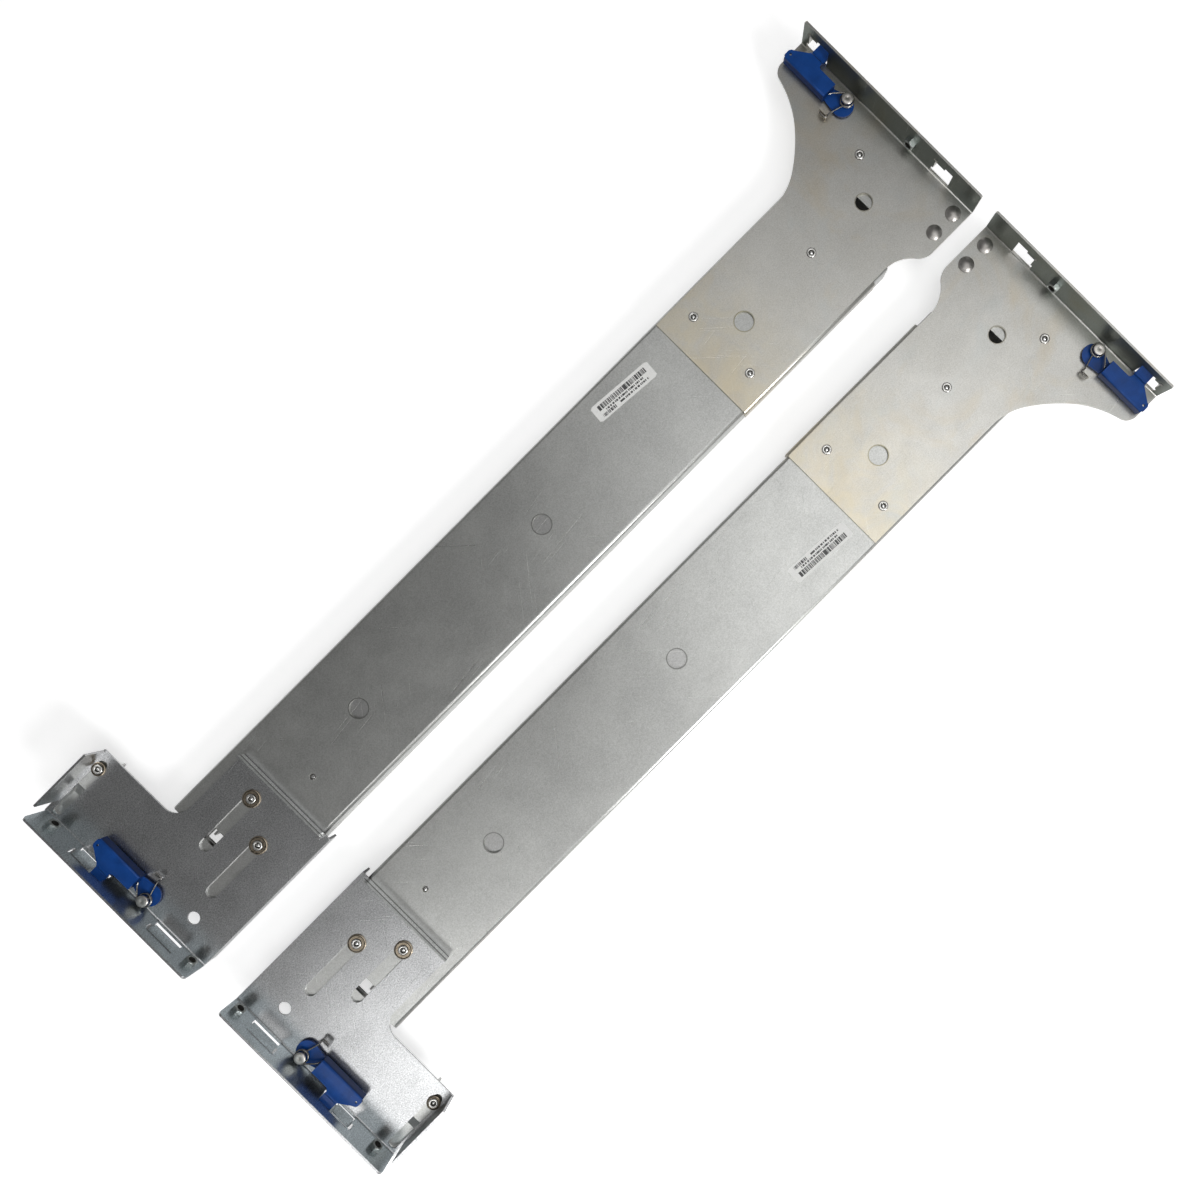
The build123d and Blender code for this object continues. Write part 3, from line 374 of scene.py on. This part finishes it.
def lathe(bm, rings, centre, steps=40, axis="Z", index=None, hexed=()):
    """Turns a profile of (radius, height) round an axis. A ring named in hexed is six-sided."""
    made = []
    for number, (radius, height) in enumerate(rings):
        loop = []
        if radius < 1e-6:
            loop = [bm.verts.new(oriented(centre, 0.0, 0.0, height, axis))] * steps
        else:
            for step in range(steps):
                angle = 2 * math.pi * step / steps
                reach = radius
                if number in hexed:
                    reach = radius / math.cos((angle + math.pi / 6) % (math.pi / 3) - math.pi / 6)
                loop.append(bm.verts.new(oriented(
                    centre, reach * math.cos(angle), reach * math.sin(angle), height, axis
                )))
        made.append(loop)
    for number in range(len(made) - 1):
        low, high = made[number], made[number + 1]
        for step in range(steps):
            after = (step + 1) % steps
            corners = []
            for vert in (low[step], low[after], high[after], high[step]):
                if vert not in corners:
                    corners.append(vert)
            if len(corners) > 2:
                face = bm.faces.new(corners)
                face.material_index = index[number] if index else 0


def oriented(centre, a, b, height, axis):
    """A point at (a, b) across an axis and at a height along it, in millimetres from a centre."""
    if axis == "Z":
        offset = Vector((a, b, height))
    elif axis == "+X":
        offset = Vector((height, a, b))
    else:
        offset = Vector((-height, a, b))
    return centre + offset * MM


def tube(name, points, radius, material, body, replaces=()):
    """A round wire along smooth points, as a mesh with closed ends."""
    curve = bpy.data.curves.new(name + "_line", "CURVE")
    curve.dimensions = "3D"
    curve.bevel_depth = radius
    curve.bevel_resolution = 4
    curve.use_fill_caps = True
    curve.resolution_u = 6
    spline = curve.splines.new("NURBS")
    spline.points.add(len(points) - 1)
    for target, point in zip(spline.points, points):
        target.co = (*point, 1.0)
    spline.order_u = 3
    spline.use_endpoint_u = True
    temporary = bpy.data.objects.new(name + "_line", curve)
    bpy.context.scene.collection.objects.link(temporary)
    bpy.context.view_layer.update()
    mesh = bpy.data.meshes.new_from_object(
        temporary.evaluated_get(bpy.context.evaluated_depsgraph_get())
    )
    bpy.data.objects.remove(temporary)
    mesh.name = name
    mesh.materials.clear()
    finish_mesh(mesh, material, 60.0)
    made = bpy.data.objects.new(name, mesh)
    bpy.context.scene.collection.objects.link(made)
    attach(made, body)
    if replaces:
        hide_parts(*replaces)
    return made


def dress(node, material, bevel=0.25):
    """Gives a CAD node its finish and slightly rounded cut edges."""
    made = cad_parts[node]
    if not made.data.materials:
        made.data.materials.append(material)
    for number in range(len(made.material_slots)):
        made.material_slots[number].material = material
    weld = made.modifiers.new("weld", "WELD")
    weld.merge_threshold = 0.000004
    if bevel:
        rounded = made.modifiers.new("cut_edges", "BEVEL")
        rounded.width = bevel * MM
        rounded.segments = 2
        rounded.limit_method = "ANGLE"
        rounded.angle_limit = math.radians(40.0)
        rounded.use_clamp_overlap = True
        rounded.harden_normals = True
        rounded.miter_outer = "MITER_ARC"
    return made


# Rivets, washers, pins, nuts and balls

def tubular_head(seat, deep=1.2):
    """Profile of a rolled tubular rivet head with its bore and the core inside, and its materials."""
    rings = [
        (3.5, seat), (3.52, seat + 0.22), (3.35, seat + 0.52), (2.95, seat + 0.74), (2.5, seat + 0.8),
        (2.1, seat + 0.7), (1.85, seat + 0.4), (1.8, seat - deep + 0.7), (1.45, seat - deep + 0.6),
        (1.42, seat - deep + 0.9), (1.1, seat - deep + 1.3), (0.6, seat - deep + 1.5),
        (0.0, seat - deep + 1.55),
    ]
    # Material 1 is painted shade, on the gap at the head's seat and down the bore; material 2 is the core
    index = [1, 1, 0, 0, 0, 0, 1, 1, 2, 2, 2, 2]
    return rings, index


def shank(rings, index, radius, low, tail_radius=None, tail=0.0):
    """Adds the underside of a head and the shank below to a profile."""
    start = [(0.0, low - tail)]
    marks = [0]
    if tail_radius:
        start += [(tail_radius - 0.4, low - tail), (tail_radius, low - tail + 0.35), (tail_radius, low)]
        marks += [0, 0, 0]
    start += [(radius, low), (radius, rings[0][1])]
    marks += [0, 0]
    return start + rings, marks + index


def add_rivet(bm, side, x, v, seat, radius, low, tail_radius=None, tail=0.0):
    """A tubular rivet at a plan point."""
    rings, index = tubular_head(seat)
    rings, index = shank(rings, index, radius, low, tail_radius, tail)
    lathe(bm, rings, world_point(side, x, v, 0.0), 40, "Z", index)


def flush_rivet(bm, side, x, v):
    """A rivet filed flush, with a shallow ring and a pip."""
    rings = [
        (0.0, 17.1), (3.4, 17.1), (3.8, 17.4), (3.8, 18.0), (2.6, 18.0), (2.6, 21.0), (2.25, 21.08),
        (2.2, 21.18), (1.95, 21.18), (1.7, 20.9), (1.35, 20.85), (1.1, 21.1), (0.5, 21.17), (0.0, 21.18),
    ]
    # Material 1 is painted shade in the shallow ring; material 2 is the pip
    index = [0, 0, 0, 0, 0, 0, 1, 0, 1, 1, 2, 2, 2]
    lathe(bm, rings, world_point(side, x, v, 0.0), 32, "Z", index)


def dome(bm, side, x, v):
    """A domed rivet with a short straight rim."""
    rim, straight, rise = 5.6, 0.45, 2.35
    rings = [(0.0, 18.4), (3.7, 18.4), (4.0, 18.7), (4.0, 19.6), (2.5, 19.6), (2.5, WEB), (5.3, WEB),
             (rim, WEB + 0.12), (rim, WEB + straight)]
    sphere = (rim ** 2 + rise ** 2) / (2 * rise)
    top = math.asin(rim / sphere)
    for step in range(1, 11):
        angle = top * (1 - step / 10)
        rings.append((sphere * math.sin(angle), WEB + straight + rise - sphere * (1 - math.cos(angle))))
    lathe(bm, rings, world_point(side, x, v, 0.0), 48)


def washer(bm, side, x, v, radius):
    """A thin dished washer."""
    rings = [
        (2.15, 22.95), (radius - 0.25, 22.95), (radius, 23.1), (radius, 23.5), (radius - 0.3, 23.68),
        (radius - 0.55, 23.74), (radius - 0.7, 23.5), (radius - 0.95, 23.5), (radius - 1.1, 23.72),
        (3.75, 23.72), (3.7, 23.5), (2.15, 23.5), (2.15, 22.95),
    ]
    # Material 1 is painted shade in the washer's groove and round its inner step
    index = [0, 0, 0, 0, 0, 1, 1, 1, 0, 1, 1, 0]
    lathe(bm, rings, world_point(side, x, v, 0.0), 48, "Z", index)


def pin(bm, side, x, v):
    """A headed latch pin with a collar under the lever."""
    rings = [
        (0.0, 21.25), (2.3, 21.25), (2.5, 21.45), (2.5, WEB), (3.9, WEB), (3.9, 23.4), (2.5, 23.44),
        (2.5, 29.3), (3.8, 29.3), (4.1, 29.55), (4.1, 30.4), (3.95, 30.66), (3.7, 30.78), (2.2, 30.8),
        (0.7, 30.76), (0.35, 30.62), (0.0, 30.56),
    ]
    lathe(bm, rings, world_point(side, x, v, 0.0), 48)


def nut(bm, side, x, v, axis):
    """A clinch nut on a flange: a collar, a chamfered hexagon and a threaded bore."""
    rings = [
        (4.0, 0.0), (4.0, 0.35), (4.0, 3.3), (3.95, 3.6), (3.7, 3.9), (3.3, 4.0), (2.95, 4.0), (2.6, 3.7),
    ]
    index = [0] * 7
    # Material 1, the threaded bore, is painted shade
    depth = 3.7
    while depth > 0.5:
        rings += [(2.78, depth - 0.2), (2.5, depth - 0.4)]
        index += [1, 1]
        depth -= 0.4
    rings.append((2.6, 0.0))
    rings.append((4.0, 0.0))
    index += [1, 0]
    centre = world_point(side, x, v, NUT_LEVEL)
    lathe(bm, rings, centre, 48, axis, index, hexed=(0, 1, 2, 3, len(rings) - 1))


def balls(bm, side, ball_side, level):
    """The six balls of one retainer."""
    for x in (-24.0, 60.0, 144.0):
        for v in (-ball_side, ball_side):
            spot = world_point(side, x, v, level)
            bmesh.ops.create_uvsphere(
                bm, u_segments=20, v_segments=12, radius=1.7 * MM, matrix=Matrix.Translation(spot)
            )


def hook_plate(bm, side, low_v, high_v, low_z, high_z):
    """The outer skin of a rear hook's plate, with rounded corners, seen through its opening."""
    outline = []
    for inward_v, inward_z, start in (
        (high_v - 1.0, high_z - 1.0, 0), (low_v + 1.0, high_z - 1.0, 90),
        (low_v + 1.0, low_z + 1.0, 180), (high_v - 1.0, low_z + 1.0, 270),
    ):
        for step in range(5):
            angle = math.radians(start + 22.5 * step)
            outline.append((inward_v + math.cos(angle), inward_z + math.sin(angle)))
    middle_v, middle_z = (low_v + high_v) / 2, (low_z + high_z) / 2
    rims = []
    for x, shrink in ((HOOK_SKIN, 0.0), (HOOK_SKIN - 0.25, 0.0), (HOOK_SKIN - 0.4, 0.15)):
        rims.append([
            bm.verts.new(world_point(
                side, x, v - math.copysign(shrink, v - middle_v), z - math.copysign(shrink, z - middle_z)
            )) for v, z in outline
        ])
    bm.faces.new(rims[0])
    bm.faces.new(rims[-1])
    for first, second in zip(rims, rims[1:]):
        for number in range(len(outline)):
            after = (number + 1) % len(outline)
            bm.faces.new((first[number], first[after], second[after], second[number]))


# Plan points and levels in millimetres
HOOK_SKIN = -382.2
HOOK_TOP = 33.4
HOOK_PLATES = ((-31.6, -2.6, 21.5), (38.0, 71.4, 19.8))
REAR_NUTS = ((-376.4, -42.3), (-376.4, 91.05))
FRONT_NUT = (376.4, 4.0)
NUT_LEVEL = 32.7
FRONT_RIVETS = ((186.9, -27.9), (186.9, 27.9), (349.5, 25.5))
DOMES = ((347.5, -50.0), (366.2, -50.0))
GUIDES = ((-290.0, -17.2), (-270.2, 9.1))
CATCH = (-331.1, 99.6)
REAR_PIVOT = (-370.6, 11.2)
FRONT_PIVOT = (368.0, 57.2)
LABELS = {"left": (115.4, 25.7, -4.5), "right": (133.0, 19.8, 3.2)}
RIVET_SET = [rivet_steel, painted_shade_steel, rivet_core]

for side in SIDES:
    fixed = "fixed_rails"
    rear = side + "_rear_bracket_body"

    bm = bmesh.new()
    for x, v in FRONT_RIVETS:
        add_rivet(bm, side, x, v, WEB, 2.0, 19.6, 3.0, 0.9)
    piece(side + "_front_rivets", bm, RIVET_SET, fixed,
          [side + "_front_bracket_rivets"])

    bm = bmesh.new()
    add_rivet(bm, side, 277.0, 1.0, WEB, 2.0, 18.0, 3.0, 0.9)
    flush_rivet(bm, side, -230.0, -10.0)
    piece(side + "_channel_rivets", bm, RIVET_SET, fixed, [side + "_slide_rivets"])

    bm = bmesh.new()
    for x, v in DOMES:
        dome(bm, side, x, v)
    piece(side + "_dome_rivets", bm, [dome_steel], fixed,
          [side + "_front_dome_rivets"])

    bm = bmesh.new()
    for x, v in GUIDES:
        rings, index = tubular_head(23.75)
        rings, index = shank([(2.0, 22.95), (2.0, 23.75)] + rings, [0, 0] + index, 4.1, 21.2)
        lathe(bm, rings, world_point(side, x, v, 0.0), 40, "Z", index)
    piece(side + "_guide_rivets", bm, RIVET_SET, fixed,
          [side + "_rear_guide_rivets"])

    bm = bmesh.new()
    for x, v in GUIDES:
        washer(bm, side, x, v, 6.5)
    piece(side + "_guide_washers", bm, [washer_bronze, painted_shade_steel], fixed,
          [side + "_rear_guide_washers"])

    bm = bmesh.new()
    rings, index = tubular_head(23.75)
    rings, index = shank([(2.0, 22.95), (2.0, 23.75)] + rings, [0, 0] + index, 3.3, 21.05)
    lathe(bm, rings, world_point(side, CATCH[0], CATCH[1], 0.0), 40, "Z", index)
    piece(side + "_catch_rivet", bm, RIVET_SET, side + "_arm_catch",
          [side + "_cable_arm_catch_rivet"])

    bm = bmesh.new()
    washer(bm, side, CATCH[0], CATCH[1], 5.0)
    piece(side + "_catch_washer", bm, [washer_bronze, painted_shade_steel], side + "_arm_catch",
          [side + "_cable_arm_catch_washer"])

    for end, pivot, body in (("rear", REAR_PIVOT, rear), ("front", FRONT_PIVOT, fixed)):
        bm = bmesh.new()
        pin(bm, side, pivot[0], pivot[1])
        piece(side + "_" + end + "_pin", bm, [pin_steel], body,
              [side + "_" + end + "_latch_pin"])

        # The spring: the coil and its post leg stay with the bracket, the other leg with the lever
        outward = 1 if end == "rear" else -1

        def at(a, b, z):
            """A point near the pivot: a towards the rail's middle, b towards the foot."""
            return world_point(side, pivot[0] + outward * a, pivot[1] + b, z)

        coil = []
        turns, count, reach = 2.35, 44, 4.75
        for step in range(count + 1):
            angle = math.radians(-270.0) + 2 * math.pi * turns * step / count
            coil.append(at(reach * math.cos(angle), reach * math.sin(angle), 28.25 - 2.2 * step / count))
        coil.reverse()
        # A hook round the post, then the straight leg, then the coil
        leg = [coil[0].lerp(at(16.1, 3.4, 26.3), share) for share in (0.5, 0.2)]
        line = [at(19.3, 8.0, 27.2), at(19.5, 4.6, 27.0), at(18.9, 2.4, 26.8), at(17.4, 2.0, 26.6),
                at(15.6, 3.0, 26.4)] + leg + coil
        tube(side + "_" + end + "_spring_coil", line, 0.55 * MM, spring_steel, body,
             [side + "_" + end + "_latch_spring"])
        lever_leg = [at(-4.7, 0.2, 28.5), at(-4.4, 2.0, 28.5), at(-2.6, 4.0, 28.5), at(1.6, 8.0, 28.4),
                     at(5.0, 11.3, 28.3), at(6.6, 11.75, 28.2)]
        tube(side + "_" + end + "_spring_leg", lever_leg, 0.5 * MM, spring_steel,
             side + "_" + end + "_latch")

    bm = bmesh.new()
    nut(bm, side, *FRONT_NUT, "-X")
    piece(side + "_front_nut", bm, [nut_steel, painted_shade_steel], fixed,
          [side + "_front_flange_nut"])

    bm = bmesh.new()
    for x, v in REAR_NUTS:
        nut(bm, side, x, v, "+X")
    piece(side + "_rear_nuts", bm, [nut_steel, painted_shade_steel], rear,
          [side + "_rear_flange_nuts"])

    bm = bmesh.new()
    for low_v, high_v, low_z in HOOK_PLATES:
        hook_plate(bm, side, low_v, high_v, low_z, HOOK_TOP)
    piece(side + "_rear_hook_plates", bm, [zinc_rear], rear)

    for kind, ball_side, level in (("outer", 19.0, 11.5), ("inner", 14.6, 7.0)):
        bm = bmesh.new()
        balls(bm, side, ball_side, level)
        piece(side + "_" + kind + "_steel_balls", bm, [ball_steel], side + "_" + kind + "_retainer",
              [side + "_" + kind + "_balls"])
        dress(side + "_" + kind + "_ball_strips", slide_steel, 0.0)

    # Label: a thin sheet with rounded corners that doesn't lie quite flat
    x, v, turn = LABELS[side]
    centre = world_point(side, x, v, 0.0)
    angle = math.radians(turn) * SIDES[side]
    bm = bmesh.new()
    rows, columns = 27, 9
    grid = []
    for row in range(rows):
        a = -26.0 + 52.0 * row / (rows - 1)
        cut = max(0.0, abs(a) - 25.0)
        half = 5.35 + math.sqrt(max(0.0, 1.0 - cut * cut))
        line = []
        for column in range(columns):
            b = -half + 2 * half * column / (columns - 1)
            lift = 0.02 + 0.05 * math.sin(a * 0.31) * math.sin(b * 0.5) ** 2
            spot = Matrix.Rotation(angle, 3, "Z") @ Vector((a * MM, b * MM, 0.0))
            line.append(bm.verts.new(centre + spot + Vector((0, 0, (FACE + 0.12 + lift) * MM))))
        grid.append(line)
    for row in range(rows - 1):
        for column in range(columns - 1):
            bm.faces.new((grid[row][column], grid[row + 1][column],
                          grid[row + 1][column + 1], grid[row][column + 1]))
    edge = bmesh.ops.extrude_face_region(bm, geom=bm.faces[:])
    moved = [e for e in edge["geom"] if isinstance(e, bmesh.types.BMVert)]
    bmesh.ops.translate(bm, verts=moved, vec=(0, 0, -0.1 * MM))
    paper = label_paper(side + "_label_paper", (centre.x, centre.y), angle, SIDES[side])
    piece(side + "_paper_label", bm, [paper], fixed, [side + "_label"])

    # Finishes of the CAD pieces that are shown as they are
    for node, metal, slot in (
        ("_channel", zinc, "zinc"),
        ("_front_bracket", zinc_warm, "zinc_warm"),
        ("_front_stop_plate", zinc, "zinc"),
        ("_rear_bracket", zinc_rear, "zinc"),
        ("_cable_arm_catch", zinc, "zinc"),
        ("_slide_outer_member", slide_steel, "slide_steel"),
        ("_slide_intermediate_member", slide_steel, "slide_steel"),
        ("_slide_inner_member", slide_steel, "slide_steel"),
    ):
        dress(side + node, metal)
    for end in ("front", "rear"):
        dress(side + "_" + end + "_latch_lever", enamel, 0.35)


# Floor, light and camera

floor_bm = bmesh.new()
bmesh.ops.create_grid(floor_bm, x_segments=2, y_segments=2, size=6.0)
floor_mesh = bpy.data.meshes.new("studio_floor")
floor_bm.to_mesh(floor_mesh)
floor_bm.free()
floor = bpy.data.objects.new("studio_floor", floor_mesh)
bpy.context.scene.collection.objects.link(floor)
floor.location.z = -0.0002
material, tree, shader = new_material("floor_paper")
tree.nodes.remove(shader)
soft = noise(tree, add(tree, "TexCoord").outputs["Object"], 3.0, 3.0)
diffuse = add(tree, "BsdfDiffuse", inputs={
    "Color": ramp(tree, soft, (0.3, (0.80, 0.80, 0.80)), (0.7, (0.82, 0.82, 0.82))),
})
light_path = add(tree, "LightPath")
mirrored = maths(
    tree, "MAXIMUM", light_path.outputs["Is Glossy Ray"], light_path.outputs["Is Transmission Ray"]
)
seen = maths(tree, "MULTIPLY_ADD", mirrored, 0.46)
tree.links.new(light_path.outputs["Is Camera Ray"], seen.node.inputs[2])
glow = add(tree, "Emission", inputs={
    "Color": (1, 1, 1, 1), "Strength": maths(tree, "MULTIPLY", seen, 0.55),
})
both = add(tree, "AddShader")
tree.links.new(diffuse.outputs[0], both.inputs[0])
tree.links.new(glow.outputs[0], both.inputs[1])
output = next(n for n in tree.nodes if n.type == "OUTPUT_MATERIAL")
tree.links.new(both.outputs[0], output.inputs["Surface"])
floor_mesh.materials.append(material)

world = bpy.data.worlds.new("studio")
bpy.context.scene.world = world
world.use_nodes = True
tree = world.node_tree
direction = add(tree, "TexCoord").outputs["Generated"]
height = add(tree, "SeparateXYZ", inputs={"Vector": direction}).outputs["Z"]
sky = ramp(tree, height, (0.0, 0.60), (0.10, 0.56), (0.42, 0.25), (0.72, 0.15), (1.0, 0.13))
tree.links.new(sky, tree.nodes["Background"].inputs["Color"])
tree.nodes["Background"].inputs["Strength"].default_value = 1.0


def softbox(name, place, target, size, radiance):
    """A soft rectangular lamp aimed at a point, set by how bright its face is."""
    light = bpy.data.lights.new(name, "AREA")
    light.shape = "RECTANGLE"
    light.size, light.size_y = size
    light.energy = radiance * math.pi * size[0] * size[1]
    made = bpy.data.objects.new(name, light)
    bpy.context.scene.collection.objects.link(made)
    made.location = place
    made.rotation_euler = (Vector(target) - Vector(place)).to_track_quat("-Z", "Y").to_euler()
    made.visible_camera = False


# Each box stands where one stretch of the rails mirrors it to a viewer above them
softbox("long_box", (-0.10, -0.63, 1.50), (-0.10, -0.63, 0.0), (2.2, 0.66), 1.15)
softbox("foot_box", (-1.25, -0.45, 1.52), (-1.00, -0.40, 0.0), (0.62, 0.60), 2.75)
softbox("right_box", (0.40, -0.11, 1.54), (0.40, -0.11, 0.0), (0.90, 0.34), 1.75)
softbox("middle_box", (-0.38, -0.12, 1.54), (-0.38, -0.12, 0.0), (0.60, 0.26), 0.50)
softbox("right_end_box", (1.08, -0.20, 1.52), (0.90, -0.20, 0.0), (0.42, 0.60), 1.0)
softbox("left_box", (0.50, 0.36, 1.50), (0.50, 0.36, 0.0), (0.80, 0.56), 0.72)
softbox("side_key", (-0.10, -2.05, 1.40), (0.0, 0.0, 0.0), (0.80, 0.80), 18.0)

camera_data = bpy.data.cameras.new("camera")
camera_data.sensor_width = 36.0
camera_data.lens = 27.86
camera_data.shift_x = -0.1025
camera_data.shift_y = 0.010
camera_data.clip_start = 0.01
camera = bpy.data.objects.new("camera", camera_data)
bpy.context.scene.collection.objects.link(camera)
camera.location = (0.0551, -0.0667, 0.6728)
camera.rotation_euler = (0.0, 0.0, math.radians(-45.14))
bpy.context.scene.camera = camera
bpy.context.scene.view_settings.view_transform = "Standard"
